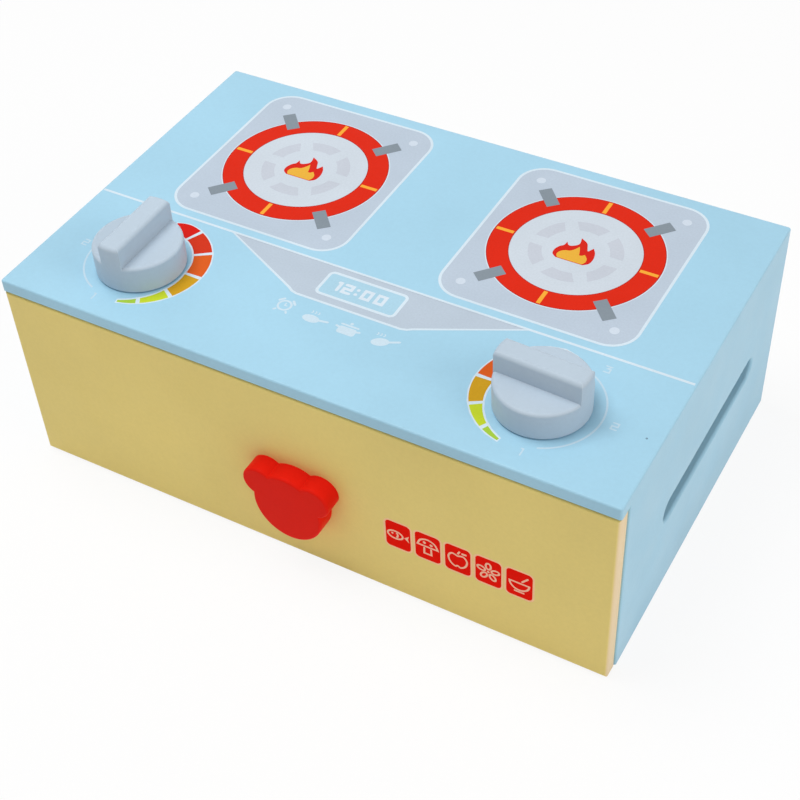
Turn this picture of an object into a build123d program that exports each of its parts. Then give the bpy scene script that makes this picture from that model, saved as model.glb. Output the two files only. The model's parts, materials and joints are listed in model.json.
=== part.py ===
from build123d import *
import os
from math import cos, radians, sin

os.makedirs("parts", exist_ok=True)

# A wooden toy cooker: a box case with a thin top board, two turning knobs on it,
# and one full-width drawer under it. Millimetres. The origin is on the surface the
# case stands on, in the middle of its width and depth: +X right, +Y back, +Z up.

# ---- case sizes
case_width = 300
case_depth = 190
case_height = 108
board_thickness = 6
board_corner = 1.2
board_easing = 0.9
panel_thickness = 9
panel_easing = 1
base_thickness = 5

# ---- grip slot in each side panel
slot_length = 106
slot_height = 12
slot_setback = 43.5
slot_level = 51
slot_easing = 1.5

# ---- cross rail under the top board, which also stops the drawer
rail_thickness = 9
rail_height = 18
rail_setback = 55

# ---- drawer
front_thickness = 8
front_side_reveal = 0.5
front_floor_gap = 1
front_top_gap = 1
front_back_gap = 0.5
front_easing = 1.5
guide_width = 10
guide_height = 12
guide_gap = 0.8
slide_gap = 0.3
drawer_wall = 8
drawer_bottom_thickness = 3
drawer_rear_gap = 2
drawer_side_gap = 2
catch_height = 6

# ---- dowels, pins and screws
dowel_radius = 2
dowel_length = 20
dowel_in_front = 5.5
dowel_inset = 14
fixings_per_corner = 2
pin_radius = 0.6
pin_length = 20
pin_cover = 0.8
pin_margin = 25
back_pin_inset = 19
pin_inset = 3
pins_per_row = 3
joint_gap = 0.05
screw_radius = 1.5
screw_head_radius = 3.2
screw_head_height = 2.2
spindle_screw_bite = 10
pull_screw_bite = 5
screw_clearance = 0.3
recess_length = 4.2
recess_width = 0.8
recess_depth = 1.1
washer_thickness = 1

# ---- bear-head pull
pull_thickness = 9.5
pull_level = 40.5
head_half_width = 17.3
head_half_height = 18.9
ear_radius = 8.3
ear_offset = 13.5
ear_rise = 10.3
pull_easing = 1.2
pull_screw_spacing = 16
pull_washer_radius = 5

# ---- knobs
knob_margin = 51
knob_setback = 37.5
knob_radius = 20.4
knob_height = 23.5
disc_height = 13.3
grip_width = 10.8
grip_easing = 2
disc_easing = 1.4
knob_base_easing = 0.8
knob_gap = 0.4
grip_turn = {"left": 91, "right": -3}
spindle_radius = 5
spindle_running_gap = 0.1
spindle_depth = 10
spindle_washer_radius = 9
spindle_washer_gap = 0.4

# ---- places worked out from the sizes
half_width = case_width / 2
front_y = -case_depth / 2
back_y = case_depth / 2
underside = case_height - board_thickness
inner_half = half_width - panel_thickness
panel_front_y = front_y + front_thickness + front_back_gap
back_inner_y = back_y - panel_thickness
panel_depth = back_y - panel_front_y
slot_y = panel_front_y + slot_setback + slot_length / 2
rail_y = front_y + rail_setback
rail_level = underside - rail_height
guide_start_y = panel_front_y + guide_width
guide_length = back_inner_y - guide_start_y

front_inner_y = front_y + front_thickness
front_bottom = front_floor_gap
front_top = underside - front_top_gap
box_half = inner_half - guide_width - guide_gap
box_rear_y = back_inner_y - drawer_rear_gap
box_length = box_rear_y - front_inner_y
box_bottom = base_thickness + slide_gap
box_floor = box_bottom + drawer_bottom_thickness
side_top = rail_level - drawer_side_gap
drawer_back_top = rail_level + catch_height
drawer_back_y = box_rear_y - drawer_wall
wall_x = box_half - drawer_wall / 2

knob_spread = half_width - knob_margin
knob_y = front_y + knob_setback
knob_seat = case_height + knob_gap
spindle_top = knob_seat + spindle_depth
washer_seat = underside - spindle_washer_gap
pin_hole = pin_radius + joint_gap
sides = (("left", -1), ("right", 1))


def spread(first, last, count):
    """Evenly spaced places from first to last, both included."""
    step = (last - first) / (count - 1)
    return [first + step * index for index in range(count)]


# Rows of pins. A pin's outer end is sunk under a skin of filler as thick as pin_cover.
side_pin_y = spread(panel_front_y + pin_margin, back_y - pin_margin, pins_per_row)
back_pin_x = spread(-half_width + 2 * pin_margin, half_width - 2 * pin_margin, pins_per_row)
back_pin_z = spread(back_pin_inset, underside - back_pin_inset, pins_per_row)
guide_pin_y = [(near + far) / 2 for near, far in zip(side_pin_y, side_pin_y[1:])]
drawer_pin_y = spread(front_inner_y + pin_margin, drawer_back_y - pin_margin, pins_per_row)
corner_z = spread(box_floor + dowel_inset, side_top - dowel_inset, fixings_per_corner)
drawer_back_pin_x = spread(-box_half / 2, box_half / 2, fixings_per_corner)

panel_top_pins = [(sign * (inner_half + pin_inset), y) for _, sign in sides for y in side_pin_y]
back_top_pins = [(x, back_y - panel_thickness / 2) for x in back_pin_x]
board_pins = panel_top_pins + back_top_pins
back_end_pins = [(back_y - panel_thickness / 2, z) for z in back_pin_z]
base_end_pins = [(y, base_thickness / 2) for y in side_pin_y]
rail_end_pins = [(rail_y + rail_thickness / 2, rail_level + rail_height / 2)]
panel_side_pins = back_end_pins + base_end_pins + rail_end_pins

# ---- top board: covers the whole box, drawer front included, and carries both knobs
with BuildPart() as top_board:
    with BuildSketch(Plane.XY.offset(underside)):
        RectangleRounded(case_width, case_depth, board_corner)
    extrude(amount=board_thickness)
    fillet(top_board.faces().sort_by(Axis.Z)[-1].edges(), board_easing)
    with BuildSketch(Plane.XY.offset(underside)):
        with Locations((-knob_spread, knob_y), (knob_spread, knob_y)):
            Circle(spindle_radius + spindle_running_gap)
    extrude(amount=board_thickness, mode=Mode.SUBTRACT)
    with BuildSketch(Plane.XY.offset(underside)):
        with Locations(*board_pins):
            Circle(pin_hole)
    extrude(amount=board_thickness - pin_cover, mode=Mode.SUBTRACT)
top_board.part.label = "top_board"
export_step(top_board.part, "parts/top_board.step")

# ---- side panels: stand behind the drawer front, each with a long round-ended grip slot
for side, sign in sides:
    with BuildPart() as side_panel:
        with BuildSketch(Plane.YZ.offset(sign * inner_half)):
            with Locations((panel_front_y + panel_depth / 2, underside / 2)):
                Rectangle(panel_depth, underside)
            with Locations((slot_y, slot_level)):
                SlotOverall(slot_length, slot_height, mode=Mode.SUBTRACT)
        extrude(amount=sign * panel_thickness)
        outer_face = side_panel.faces().filter_by(Axis.X).sort_by(Axis.X)[0 if sign < 0 else -1]
        slot_rim = outer_face.inner_wires()[0].edges()
        outline = outer_face.outer_wire().edges()
        fillet(outline.filter_by(Axis.Z).sort_by(Axis.Y)[-1], board_corner)
        fillet(slot_rim, slot_easing)
        outer_face = side_panel.faces().filter_by(Axis.X).sort_by(Axis.X)[0 if sign < 0 else -1]
        outline = outer_face.outer_wire().edges()
        fillet(outline.filter_by(Axis.Z).sort_by(Axis.Y)[0], panel_easing)
        with BuildSketch(Plane.YZ.offset(sign * inner_half)):
            with Locations(*panel_side_pins):
                Circle(pin_hole)
        extrude(amount=sign * (panel_thickness - pin_cover), mode=Mode.SUBTRACT)
        with BuildSketch(Plane.XY.offset(underside)):
            with Locations(*[spot for spot in panel_top_pins if spot[0] * sign > 0]):
                Circle(pin_hole)
        extrude(amount=-(pin_length + pin_cover - board_thickness), mode=Mode.SUBTRACT)
    side_panel.part.label = f"{side}_side_panel"
    export_step(side_panel.part, f"parts/{side}_side_panel.step")

# ---- back panel: between the side panels, flush with their rear edges
pin_in_end = pin_length + pin_cover - panel_thickness
with BuildPart() as back_panel:
    with BuildSketch(Plane.XZ.offset(-back_inner_y)):
        with Locations((0, underside / 2)):
            Rectangle(2 * inner_half, underside)
    extrude(amount=-panel_thickness)
    with BuildSketch(Plane.XY.offset(underside)):
        with Locations(*back_top_pins):
            Circle(pin_hole)
    extrude(amount=-(pin_length + pin_cover - board_thickness), mode=Mode.SUBTRACT)
    for _, sign in sides:
        with BuildSketch(Plane.YZ.offset(sign * inner_half)):
            with Locations(*back_end_pins):
                Circle(pin_hole)
        extrude(amount=-sign * pin_in_end, mode=Mode.SUBTRACT)
back_panel.part.label = "back_panel"
export_step(back_panel.part, "parts/back_panel.step")

# ---- base panel: plywood floor of the case, which the drawer slides on
with BuildPart() as base_panel:
    with BuildSketch(Plane.XY):
        with Locations((0, (panel_front_y + back_inner_y) / 2)):
            Rectangle(2 * inner_half, back_inner_y - panel_front_y)
    extrude(amount=base_thickness)
    for _, sign in sides:
        with BuildSketch(Plane.YZ.offset(sign * inner_half)):
            with Locations(*base_end_pins):
                Circle(pin_hole)
        extrude(amount=-sign * pin_in_end, mode=Mode.SUBTRACT)
        with BuildSketch(Plane.XY.offset(base_thickness)):
            with Locations(*[(sign * (inner_half - guide_width / 2), y) for y in guide_pin_y]):
                Circle(pin_hole)
        extrude(amount=-(base_thickness - pin_cover), mode=Mode.SUBTRACT)
base_panel.part.label = "base_panel"
export_step(base_panel.part, "parts/base_panel.step")

# ---- cross rail: glued under the top board, it stiffens it and catches the drawer's back
with BuildPart() as cross_rail:
    with BuildSketch(Plane.XZ.offset(-rail_y)):
        with Locations((0, underside - rail_height / 2)):
            Rectangle(2 * inner_half, rail_height)
    extrude(amount=-rail_thickness)
    fillet(cross_rail.faces().sort_by(Axis.Z)[0].edges().filter_by(Axis.X), panel_easing)
    for _, sign in sides:
        with BuildSketch(Plane.YZ.offset(sign * inner_half)):
            with Locations(*rail_end_pins):
                Circle(pin_hole)
        extrude(amount=-sign * pin_in_end, mode=Mode.SUBTRACT)
cross_rail.part.label = "cross_rail"
export_step(cross_rail.part, "parts/cross_rail.step")

# ---- guide rails: one along each side of the drawer box, pinned down to the base
for side, sign in sides:
    with BuildPart() as guide_rail:
        with BuildSketch(Plane.XY.offset(base_thickness)):
            with Locations((sign * (inner_half - guide_width / 2), guide_start_y + guide_length / 2)):
                Rectangle(guide_width, guide_length)
        extrude(amount=guide_height)
        top_edges = guide_rail.faces().sort_by(Axis.Z)[-1].edges().filter_by(Axis.Y)
        fillet(top_edges.sort_by(Axis.X)[-1 if sign < 0 else 0], panel_easing)
        with BuildSketch(Plane.XY.offset(base_thickness)):
            with Locations(*[(sign * (inner_half - guide_width / 2), y) for y in guide_pin_y]):
                Circle(pin_hole)
        extrude(amount=guide_height - pin_cover, mode=Mode.SUBTRACT)
    guide_rail.part.label = f"{side}_guide_rail"
    export_step(guide_rail.part, f"parts/{side}_guide_rail.step")

# ---- pins of the case, one group for each joint
with BuildPart() as board_pin_set:
    with BuildSketch(Plane.XY.offset(case_height - pin_cover)):
        with Locations(*board_pins):
            Circle(pin_radius)
    extrude(amount=-pin_length)
board_pin_set.part.label = "top_board_pins"
export_step(board_pin_set.part, "parts/top_board_pins.step")

for name, spots in (
    ("back_panel_pins", back_end_pins),
    ("base_panel_pins", base_end_pins),
    ("cross_rail_pins", rail_end_pins),
):
    with BuildPart() as end_pins:
        for _, sign in sides:
            with BuildSketch(Plane.YZ.offset(sign * (half_width - pin_cover))):
                with Locations(*spots):
                    Circle(pin_radius)
            extrude(amount=-sign * pin_length)
    end_pins.part.label = name
    export_step(end_pins.part, f"parts/{name}.step")

guide_pin_length = guide_height + base_thickness - 2 * pin_cover
with BuildPart() as guide_pins:
    for _, sign in sides:
        with BuildSketch(Plane.XY.offset(pin_cover)):
            with Locations(*[(sign * (inner_half - guide_width / 2), y) for y in guide_pin_y]):
                Circle(pin_radius)
        extrude(amount=guide_pin_length)
guide_pins.part.label = "guide_rail_pins"
export_step(guide_pins.part, "parts/guide_rail_pins.step")

# ---- drawer front: a full-width board that closes the whole front under the top board
pull_screw_x = (-pull_screw_spacing / 2, pull_screw_spacing / 2)
dowel_spots = [(sign * wall_x, z) for _, sign in sides for z in corner_z]
with BuildPart() as drawer_front:
    with BuildSketch(Plane.XZ.offset(-front_inner_y)):
        with Locations((0, (front_bottom + front_top) / 2)):
            Rectangle(case_width - 2 * front_side_reveal, front_top - front_bottom)
    extrude(amount=front_thickness)
    fillet(drawer_front.faces().sort_by(Axis.Y)[0].edges(), front_easing)
    rear_edges = drawer_front.faces().sort_by(Axis.Y)[-1].edges()
    fillet(rear_edges, panel_easing)
    with BuildSketch(Plane.XZ.offset(-front_inner_y)):
        with Locations(*[(x, pull_level) for x in pull_screw_x]):
            Circle(screw_radius + screw_clearance)
    extrude(amount=front_thickness, mode=Mode.SUBTRACT)
    with BuildSketch(Plane.XZ.offset(-front_inner_y)):
        with Locations(*dowel_spots):
            Circle(dowel_radius + joint_gap)
    extrude(amount=dowel_in_front, mode=Mode.SUBTRACT)
drawer_front.part.label = "drawer_front"
export_step(drawer_front.part, "parts/drawer_front.step")

# ---- drawer sides: run from the front to the rear, on top of the plywood bottom
wall_pin_depth = pin_length + pin_cover - drawer_bottom_thickness
for side, sign in sides:
    with BuildPart() as drawer_side:
        with BuildSketch(Plane.XY.offset(box_floor)):
            with Locations((sign * wall_x, front_inner_y + box_length / 2)):
                Rectangle(drawer_wall, box_length)
        extrude(amount=side_top - box_floor)
        fillet(drawer_side.faces().sort_by(Axis.Z)[-1].edges().filter_by(Axis.Y), panel_easing)
        with BuildSketch(Plane.XZ.offset(-front_inner_y)):
            with Locations(*[(sign * wall_x, z) for z in corner_z]):
                Circle(dowel_radius + joint_gap)
        extrude(amount=-(dowel_length - dowel_in_front), mode=Mode.SUBTRACT)
        with BuildSketch(Plane.YZ.offset(sign * (box_half - drawer_wall))):
            with Locations(*[(drawer_back_y + drawer_wall / 2, z) for z in corner_z]):
                Circle(pin_hole)
        extrude(amount=sign * (drawer_wall - pin_cover), mode=Mode.SUBTRACT)
        with BuildSketch(Plane.XY.offset(box_floor)):
            with Locations(*[(sign * wall_x, y) for y in drawer_pin_y]):
                Circle(pin_hole)
        extrude(amount=wall_pin_depth, mode=Mode.SUBTRACT)
    drawer_side.part.label = f"drawer_{side}_side"
    export_step(drawer_side.part, f"parts/drawer_{side}_side.step")

# ---- drawer back: taller than the sides, so that the cross rail catches it
with BuildPart() as drawer_back:
    with BuildSketch(Plane.XY.offset(box_floor)):
        with Locations((0, drawer_back_y + drawer_wall / 2)):
            Rectangle(2 * (box_half - drawer_wall), drawer_wall)
    extrude(amount=drawer_back_top - box_floor)
    fillet(drawer_back.faces().sort_by(Axis.Z)[-1].edges().filter_by(Axis.X), panel_easing)
    for _, sign in sides:
        with BuildSketch(Plane.YZ.offset(sign * (box_half - drawer_wall))):
            with Locations(*[(drawer_back_y + drawer_wall / 2, z) for z in corner_z]):
                Circle(pin_hole)
        extrude(amount=-sign * (pin_length + pin_cover - drawer_wall), mode=Mode.SUBTRACT)
    with BuildSketch(Plane.XY.offset(box_floor)):
        with Locations(*[(x, drawer_back_y + drawer_wall / 2) for x in drawer_back_pin_x]):
            Circle(pin_hole)
    extrude(amount=wall_pin_depth, mode=Mode.SUBTRACT)
drawer_back.part.label = "drawer_back"
export_step(drawer_back.part, "parts/drawer_back.step")

# ---- drawer bottom: plywood, pinned up into the sides and the back
bottom_pins = [(sign * wall_x, y) for _, sign in sides for y in drawer_pin_y]
bottom_pins += [(x, drawer_back_y + drawer_wall / 2) for x in drawer_back_pin_x]
with BuildPart() as drawer_bottom:
    with BuildSketch(Plane.XY.offset(box_bottom)):
        with Locations((0, front_inner_y + box_length / 2)):
            Rectangle(2 * box_half, box_length)
    extrude(amount=drawer_bottom_thickness)
    with BuildSketch(Plane.XY.offset(box_floor)):
        with Locations(*bottom_pins):
            Circle(pin_hole)
    extrude(amount=-(drawer_bottom_thickness - pin_cover), mode=Mode.SUBTRACT)
drawer_bottom.part.label = "drawer_bottom"
export_step(drawer_bottom.part, "parts/drawer_bottom.step")

# ---- dowels and pins of the drawer
with BuildPart() as drawer_dowels:
    with BuildSketch(Plane.XZ.offset(-(front_inner_y - dowel_in_front))):
        with Locations(*dowel_spots):
            Circle(dowel_radius)
    extrude(amount=-dowel_length)
drawer_dowels.part.label = "drawer_dowels"
export_step(drawer_dowels.part, "parts/drawer_dowels.step")

with BuildPart() as drawer_back_pins:
    for _, sign in sides:
        with BuildSketch(Plane.YZ.offset(sign * (box_half - pin_cover))):
            with Locations(*[(drawer_back_y + drawer_wall / 2, z) for z in corner_z]):
                Circle(pin_radius)
        extrude(amount=-sign * pin_length)
drawer_back_pins.part.label = "drawer_back_pins"
export_step(drawer_back_pins.part, "parts/drawer_back_pins.step")

with BuildPart() as drawer_bottom_pins:
    with BuildSketch(Plane.XY.offset(box_bottom + pin_cover)):
        with Locations(*bottom_pins):
            Circle(pin_radius)
    extrude(amount=pin_length)
drawer_bottom_pins.part.label = "drawer_bottom_pins"
export_step(drawer_bottom_pins.part, "parts/drawer_bottom_pins.step")

# ---- bear-head pull: a thick plain silhouette, flat on both faces
with BuildPart() as bear_pull:
    with BuildSketch(Plane.XZ.offset(-front_y)):
        with Locations((0, pull_level)):
            Ellipse(head_half_width, head_half_height)
        with Locations((-ear_offset, pull_level + ear_rise), (ear_offset, pull_level + ear_rise)):
            Circle(ear_radius)
    extrude(amount=pull_thickness)
    fillet(bear_pull.faces().sort_by(Axis.Y)[0].edges(), pull_easing)
    with BuildSketch(Plane.XZ.offset(-front_y)):
        with Locations(*[(x, pull_level) for x in pull_screw_x]):
            Circle(screw_radius + joint_gap)
    extrude(amount=pull_screw_bite + joint_gap, mode=Mode.SUBTRACT)
bear_pull.part.label = "bear_pull"
export_step(bear_pull.part, "parts/bear_pull.step")

# ---- washers and screws of the pull, fitted from inside the drawer
with BuildPart() as pull_washers:
    with BuildSketch(Plane.XZ.offset(-front_inner_y)):
        with Locations(*[(x, pull_level) for x in pull_screw_x]):
            Circle(pull_washer_radius)
            Circle(screw_radius + screw_clearance, mode=Mode.SUBTRACT)
    extrude(amount=-washer_thickness)
pull_washers.part.label = "pull_washers"
export_step(pull_washers.part, "parts/pull_washers.step")

pull_head_y = front_inner_y + washer_thickness
with BuildPart() as pull_screws:
    with BuildSketch(Plane.XZ.offset(-pull_head_y)):
        with Locations(*[(x, pull_level) for x in pull_screw_x]):
            Circle(screw_head_radius)
    extrude(amount=-screw_head_height)
    with BuildSketch(Plane.XZ.offset(-pull_head_y)):
        with Locations(*[(x, pull_level) for x in pull_screw_x]):
            Circle(screw_radius)
    extrude(amount=washer_thickness + front_thickness + pull_screw_bite)
    with BuildSketch(Plane.XZ.offset(-(pull_head_y + screw_head_height))):
        with Locations(*[(x, pull_level) for x in pull_screw_x]):
            Rectangle(recess_length, recess_width)
            Rectangle(recess_width, recess_length)
    extrude(amount=recess_depth, mode=Mode.SUBTRACT)
pull_screws.part.label = "pull_screws"
export_step(pull_screws.part, "parts/pull_screws.step")

# ---- knobs: each turns on a spindle through the top board, held by a washer and a screw below
for side, sign in sides:
    turn = radians(grip_turn[side])
    knob_x = sign * knob_spread
    along_grip = (cos(turn), sin(turn), 0)
    knob_base = Plane((knob_x, knob_y, knob_seat), x_dir=along_grip)
    disc_middle = Plane((knob_x, knob_y, knob_seat + disc_height / 2), x_dir=along_grip)

    with BuildPart() as knob:
        with BuildSketch(knob_base):
            Circle(knob_radius)
        extrude(amount=disc_height)
        fillet(knob.edges().sort_by(Axis.Z)[-1], disc_easing)
        fillet(knob.edges().sort_by(Axis.Z)[0], knob_base_easing)
        with BuildSketch(disc_middle):
            Circle(knob_radius)
            Rectangle(2 * knob_radius, grip_width, mode=Mode.INTERSECT)
        extrude(amount=knob_height - disc_height / 2)
        fillet(knob.faces().sort_by(Axis.Z)[-1].edges(), grip_easing)
        with BuildSketch(knob_base):
            Circle(spindle_radius + joint_gap)
        extrude(amount=spindle_depth + joint_gap, mode=Mode.SUBTRACT)
    knob.part.label = f"{side}_knob"
    export_step(knob.part, f"parts/{side}_knob.step")

    with BuildPart() as spindle:
        with BuildSketch(Plane((knob_x, knob_y, washer_seat))):
            Circle(spindle_radius)
        extrude(amount=spindle_top - washer_seat)
        with BuildSketch(Plane((knob_x, knob_y, washer_seat))):
            Circle(screw_radius + joint_gap)
        extrude(amount=spindle_screw_bite + joint_gap, mode=Mode.SUBTRACT)
    spindle.part.label = f"{side}_knob_spindle"
    export_step(spindle.part, f"parts/{side}_knob_spindle.step")

    with BuildPart() as spindle_washer:
        with BuildSketch(Plane((knob_x, knob_y, washer_seat))):
            Circle(spindle_washer_radius)
            Circle(screw_radius + screw_clearance, mode=Mode.SUBTRACT)
        extrude(amount=-washer_thickness)
    spindle_washer.part.label = f"{side}_knob_washer"
    export_step(spindle_washer.part, f"parts/{side}_knob_washer.step")

    head_top = washer_seat - washer_thickness
    with BuildPart() as spindle_screw:
        with BuildSketch(Plane((knob_x, knob_y, head_top))):
            Circle(screw_head_radius)
        extrude(amount=-screw_head_height)
        with BuildSketch(Plane((knob_x, knob_y, head_top))):
            Circle(screw_radius)
        extrude(amount=washer_thickness + spindle_screw_bite)
        with BuildSketch(Plane((knob_x, knob_y, head_top - screw_head_height))):
            Rectangle(recess_length, recess_width)
            Rectangle(recess_width, recess_length)
        extrude(amount=recess_depth, mode=Mode.SUBTRACT)
    spindle_screw.part.label = f"{side}_knob_screw"
    export_step(spindle_screw.part, f"parts/{side}_knob_screw.step")
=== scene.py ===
import json
import math

import bmesh
import bpy
from mathutils import Matrix, Vector
from mathutils.geometry import tessellate_polygon


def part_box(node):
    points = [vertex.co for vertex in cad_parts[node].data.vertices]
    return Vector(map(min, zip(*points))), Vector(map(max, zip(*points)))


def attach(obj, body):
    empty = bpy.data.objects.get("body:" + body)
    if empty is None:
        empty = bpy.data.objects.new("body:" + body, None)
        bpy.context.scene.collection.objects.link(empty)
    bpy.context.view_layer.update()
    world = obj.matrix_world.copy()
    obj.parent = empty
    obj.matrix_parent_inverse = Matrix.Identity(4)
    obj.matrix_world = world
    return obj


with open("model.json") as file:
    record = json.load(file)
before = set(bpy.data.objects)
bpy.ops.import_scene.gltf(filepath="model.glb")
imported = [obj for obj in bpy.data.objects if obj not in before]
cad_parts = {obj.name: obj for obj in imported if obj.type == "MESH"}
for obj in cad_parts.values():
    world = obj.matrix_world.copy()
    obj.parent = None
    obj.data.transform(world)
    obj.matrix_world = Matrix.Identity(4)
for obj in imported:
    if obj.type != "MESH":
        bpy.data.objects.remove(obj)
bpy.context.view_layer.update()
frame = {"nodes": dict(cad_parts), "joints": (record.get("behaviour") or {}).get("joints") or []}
part = frame["nodes"]


# ---- Base panel: a sheet of 5 mm plywood between the side panels, sanded and left bare.
# Its faces show the wide, faint figure of peeled veneer, and its edges show the plies.

def colour(red, green, blue):
    """A colour chart's 0-255 values as the linear colour that a shader takes."""
    steps = [value / 255 for value in (red, green, blue)]
    return [s / 12.92 if s <= 0.04045 else ((s + 0.055) / 1.055) ** 2.4 for s in steps] + [1]


def new_finish(name):
    finish = bpy.data.materials.new(name)
    finish.use_nodes = True
    return finish


def step(finish, kind, inputs, **settings):
    """Adds one node to a finish. An input takes a value, or the output that feeds it."""
    made = finish.node_tree.nodes.new("ShaderNode" + kind)
    for setting, value in settings.items():
        setattr(made, setting, value)
    for socket, value in inputs.items():
        if isinstance(value, bpy.types.NodeSocket):
            finish.node_tree.links.new(value, made.inputs[socket])
        else:
            made.inputs[socket].default_value = value
    return made.outputs[0]


def close_finish(finish, fixed, fed):
    """Sets the shader's fixed values and links the outputs that feed it."""
    shader = finish.node_tree.nodes["Principled BSDF"]
    for socket, value in fixed.items():
        shader.inputs[socket].default_value = value
    for socket, output in fed.items():
        finish.node_tree.links.new(output, shader.inputs[socket])
    return finish


def coordinate(finish, kind):
    return step(finish, "TexCoord", {}).node.outputs[kind]


def mottle(finish, place, grain, detail, stretch=(1, 1, 1)):
    """A noise whose patches are about `grain` metres across, drawn out by `stretch`."""
    drawn = step(finish, "Mapping", {"Vector": place, "Scale": [1 / (grain * s) for s in stretch]})
    return step(finish, "TexNoise", {"Vector": drawn, "Scale": 1.0, "Detail": detail})


def spread(finish, value, low, high, start=0.3, end=0.7):
    """Turns a noise, which stays near its middle, into the range from low to high."""
    limits = {"Value": value, "From Min": start, "From Max": end, "To Min": low, "To Max": high}
    return step(finish, "MapRange", limits)


def wood_figure(finish, grain_turn, heart, ring_gap):
    """Growth rings round a heart line and fibres along it, each from 0 to 1, and the place in
    the log that both are drawn from."""
    place = coordinate(finish, "Object")
    log = step(finish, "Mapping", {"Vector": place, "Rotation": grain_turn, "Location": heart})
    drawn = step(finish, "Mapping", {"Vector": log, "Scale": (0.12, 1, 1)})
    rings = step(finish, "TexWave",
                 {"Vector": drawn, "Scale": 0.314 / ring_gap, "Distortion": 4.0,
                  "Detail": 3.0, "Detail Scale": 0.14},
                 wave_type="RINGS", rings_direction="X", wave_profile="SAW")
    fibres = mottle(finish, log, 0.0006, 3.0, (40, 1, 1))
    return rings.node.outputs["Fac"], fibres.node.outputs["Fac"], log


def bare_wood(name, pale, dark, ring_gap, figure, grain_turn=(0, 0, 0), heart=(0, 0, 0)):
    """Sanded wood without a finish. `figure` is how strongly its growth rings show."""
    finish = new_finish(name)
    rings, fibres, log = wood_figure(finish, grain_turn, heart, ring_gap)
    latewood = step(finish, "Math", {0: rings, 1: 2.2}, operation="POWER")
    streak = spread(finish, fibres, -0.35, 0.45)
    board_tone = spread(finish, mottle(finish, log, 0.05, 2.0, (5, 1, 1)), -0.12, 0.16)
    tone = step(finish, "Math", {0: latewood, 1: figure, 2: streak}, operation="MULTIPLY_ADD")
    tone = step(finish, "Math", {0: tone, 1: board_tone}, operation="ADD", use_clamp=True)
    face = step(finish, "MixRGB", {"Fac": tone, "Color1": colour(*pale), "Color2": colour(*dark)})
    bump = step(finish, "Bump", {"Height": fibres, "Strength": 0.35, "Distance": 0.0001})
    sheen = spread(finish, fibres, 0.58, 0.74)
    return close_finish(finish, {"IOR": 1.45},
                        {"Base Color": face, "Roughness": sheen, "Normal": bump})


def plywood(name, foot, ply):
    """Peeled veneer on the faces; on the edges, plies of one thickness from `foot` upwards."""
    finish = bare_wood(name, (226, 200, 158), (196, 160, 112), 0.011, 0.55, heart=(0, 0.02, -0.09))
    shader = finish.node_tree.nodes["Principled BSDF"]
    veneer = shader.inputs["Base Color"].links[0].from_socket
    height = step(finish, "SeparateXYZ", {"Vector": coordinate(finish, "Object")}).node.outputs["Z"]
    layer = step(finish, "Math", {0: height, 1: foot}, operation="SUBTRACT")
    layer = step(finish, "Math", {0: layer, 1: 2 * ply}, operation="DIVIDE")
    layer = step(finish, "Math", {0: layer}, operation="FRACT")
    crossed = step(finish, "Math", {0: layer, 1: 0.5}, operation="GREATER_THAN")
    pores = mottle(finish, coordinate(finish, "Object"), 0.0007, 2.0, (1, 1, 3))
    end_grain = step(finish, "MixRGB", {"Fac": spread(finish, pores, 0, 1),
                                        "Color1": colour(190, 150, 104),
                                        "Color2": colour(158, 118, 76)})
    plies = step(finish, "MixRGB", {"Fac": crossed, "Color1": colour(222, 192, 148),
                                    "Color2": end_grain})
    upright = step(finish, "SeparateXYZ", {"Vector": coordinate(finish, "Normal")}).node.outputs["Z"]
    upright = step(finish, "Math", {0: upright}, operation="ABSOLUTE")
    on_edge = step(finish, "Math", {0: upright, 1: 0.5}, operation="LESS_THAN")
    shown = step(finish, "MixRGB", {"Fac": on_edge, "Color1": veneer, "Color2": plies})
    return close_finish(finish, {}, {"Base Color": shown})


def dress(nodes, finish):
    """Gives CAD nodes their finish and files them under a material slot."""
    for name in nodes:
        piece = part[name]
        piece.data.materials.clear()
        piece.data.materials.append(finish)


PLY = 0.001
base_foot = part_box("base_panel")[0].z
dress(["base_panel"], plywood("bare_plywood_5mm", base_foot, PLY))


# ---- Side panels and back panel: 9 mm board in satin sky-blue paint. The paint lies in a
# fine roller stipple, is a little uneven, and is rubbed slightly paler along the edges.

SEAM_COVER = 0.0015


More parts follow.
